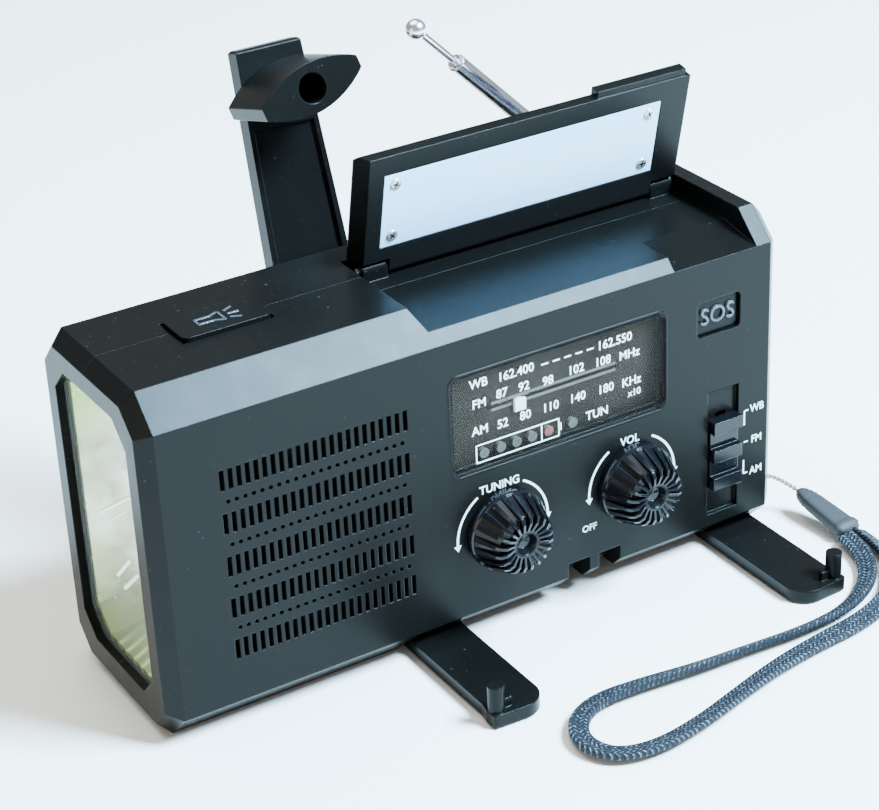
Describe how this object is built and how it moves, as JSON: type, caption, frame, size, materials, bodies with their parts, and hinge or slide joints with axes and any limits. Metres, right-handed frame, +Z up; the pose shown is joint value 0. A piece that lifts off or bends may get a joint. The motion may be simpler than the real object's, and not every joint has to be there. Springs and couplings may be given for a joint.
{
  "type": "emergency radio",
  "caption": "Hand-cranked emergency radio with end lamp, tuning dial, hinged solar lid with reading light, folding crank, telescopic aerial, swing-out legs and wrist lanyard.",
  "frame": {"origin": "on the underside, in the middle of the case's length and depth", "axes": "+X along the case away from the lamp, +Y from the front face to the back, +Z up"},
  "size_m": [0.1962, 0.154, 0.144],
  "materials": {
    "case_plastic": "fine moulded grain",
    "gloss_black": "glossy",
    "clear_lens": "clear",
    "reflector": "bright plated",
    "circuit_board": "solder mask",
    "led": "clear resin",
    "smoky_window": "smoky",
    "dial_black": "printed",
    "pointer_white": "plain",
    "indicator": "diffused",
    "steel": "satin",
    "switch_body": "plain",
    "paper": "felted paper",
    "ferrite": "matt",
    "solar_cell": "laminated",
    "diffuser": "frosted",
    "brass": "satin",
    "gear_nylon": "plain",
    "battery_wrap": "shrink sleeve",
    "copper_wire": "enamelled",
    "rubber": "matt",
    "chrome": "polished",
    "string": "twisted",
    "strap_webbing": "woven"
  },
  "bodies": {
    "case": {"front_shell": "case_plastic", "rear_shell": "case_plastic", "case_screws": "steel", "battery_cover": "case_plastic", "lamp_lens": "clear_lens", "lamp_reflector": "reflector", "lamp_board": "circuit_board", "lamp_leds": "led", "dial_window": "smoky_window", "dial_plate": "dial_black", "indicator_lamps": "indicator", "main_board": "circuit_board", "tuning_capacitor": "switch_body", "volume_control": "steel", "band_switch": "switch_body", "push_switches": "switch_body", "lamp_switch_board": "circuit_board", "speaker_frame": "steel", "speaker_cone": "paper", "speaker_magnet": "ferrite", "lid_hinge_pin": "steel", "crank_bush": "brass", "dynamo": "steel", "battery_cell": "battery_wrap", "battery_contacts": "steel", "ferrite_rod": "ferrite", "ferrite_coil": "copper_wire", "charging_and_earphone_sockets": "steel", "aerial_pivot": "chrome", "leg_pivot_screws": "steel", "lanyard_string": "string", "lanyard_strap": "strap_webbing", "lanyard_sleeve": "rubber"},
    "tuning_control": {"tuning_knob": "gloss_black", "tuning_shaft": "steel"},
    "pointer": {"dial_pointer": "pointer_white"},
    "volume_knob_body": {"volume_knob": "gloss_black", "volume_shaft": "steel"},
    "band_slider_body": {"band_slider": "gloss_black"},
    "sos_key": {"sos_button": "case_plastic"},
    "lamp_key": {"lamp_button": "case_plastic"},
    "lid": {"lid_frame": "case_plastic", "solar_panel": "solar_cell", "reading_led_strip": "circuit_board", "reading_light_panel": "diffuser", "lid_screws": "steel"},
    "crank": {"crank_hub": "case_plastic", "crank_fold_pin": "steel", "drive_gear": "gear_nylon"},
    "rotor": {"dynamo_rotor": "steel"},
    "arm": {"crank_arm": "case_plastic", "grip_screw": "case_plastic"},
    "grip": {"crank_grip": "case_plastic"},
    "flap": {"socket_flap": "rubber"},
    "aerial": {"aerial_knuckle": "chrome", "aerial_outer_tube": "chrome"},
    "aerial_middle": {"aerial_middle_tube": "chrome"},
    "aerial_end": {"aerial_tip": "chrome"},
    "leg_left": {"left_leg": "case_plastic"},
    "leg_right": {"right_leg": "case_plastic"}
  },
  "joints": [
    {"name": "tuning_turn", "type": "hinge", "parent": "case", "child": "tuning_control", "pos_m": [0.0041, -0.0283, 0.03], "axis": [0, 1, 0], "range_deg": [-50, 218]},
    {"name": "pointer_slide", "type": "slide", "parent": "case", "child": "pointer", "axis": [1, 0, 0], "range_m": [-0.0064, 0.0277]},
    {"name": "volume_turn", "type": "hinge", "parent": "case", "child": "volume_knob_body", "pos_m": [0.0433, -0.0283, 0.03], "axis": [0, 1, 0], "range_deg": [-140, 130]},
    {"name": "band_slide", "type": "slide", "parent": "case", "child": "band_slider_body", "axis": [0, 0, 1], "range_m": [-0.008, 0.008]},
    {"name": "sos_press", "type": "slide", "parent": "case", "child": "sos_key", "axis": [0, 1, 0], "range_m": [0, 0.0008], "stiffness_N_per_m": 600},
    {"name": "lamp_press", "type": "slide", "parent": "case", "child": "lamp_key", "axis": [0, 0, -1], "range_m": [0, 0.0012], "stiffness_N_per_m": 600},
    {"name": "lid_hinge", "type": "hinge", "parent": "case", "child": "lid", "pos_m": [0.0345, 0.009, 0.0906], "axis": [1, 0, 0], "range_deg": [0, 77]},
    {"name": "crank_spin", "type": "hinge", "parent": "case", "child": "crank", "pos_m": [-0.0093, 0.0283, 0.06], "axis": [0, 1, 0], "continuous": true},
    {"name": "dynamo_spin", "type": "hinge", "parent": "case", "child": "rotor", "pos_m": [0.0147, 0.015, 0.06], "axis": [0, 1, 0], "continuous": true},
    {"name": "crank_fold", "type": "hinge", "parent": "crank", "child": "arm", "pos_m": [-0.0093, 0.0357, 0.06], "axis": [-1, 0, 0], "range_deg": [0, 150]},
    {"name": "grip_spin", "type": "hinge", "parent": "arm", "child": "grip", "pos_m": [-0.0093, 0.05417, 0.12441], "axis": [0, -0.9613, 0.2756], "continuous": true},
    {"name": "flap_hinge", "type": "hinge", "parent": "case", "child": "flap", "pos_m": [0.052, 0.028, 0.0208], "axis": [-1, 0, 0], "range_deg": [0, 110]},
    {"name": "aerial_swing", "type": "hinge", "parent": "case", "child": "aerial", "pos_m": [0.069, 0.027, 0.09], "axis": [0, 1, 0], "range_deg": [-45, 90]},
    {"name": "aerial_middle_slide", "type": "slide", "parent": "aerial", "child": "aerial_middle", "axis": [-0.7071, 0, 0.7071], "range_m": [0, 0.04]},
    {"name": "aerial_tip_slide", "type": "slide", "parent": "aerial_middle", "child": "aerial_end", "axis": [-0.7071, 0, 0.7071], "range_m": [-0.01, 0.028]},
    {"name": "left_leg_swing", "type": "hinge", "parent": "case", "child": "leg_left", "pos_m": [-0.0145, -0.02, 0.002], "axis": [0, 0, 1], "range_deg": [0, 90]},
    {"name": "right_leg_swing", "type": "hinge", "parent": "case", "child": "leg_right", "pos_m": [0.077, -0.02, 0.002], "axis": [0, 0, -1], "range_deg": [0, 90]}
  ],
  "couplings": [
    {"joint": "pointer_slide", "follows": "tuning_turn", "m_per_rad": 0.00727},
    {"joint": "dynamo_spin", "follows": "crank_spin", "ratio": -3}
  ]
}
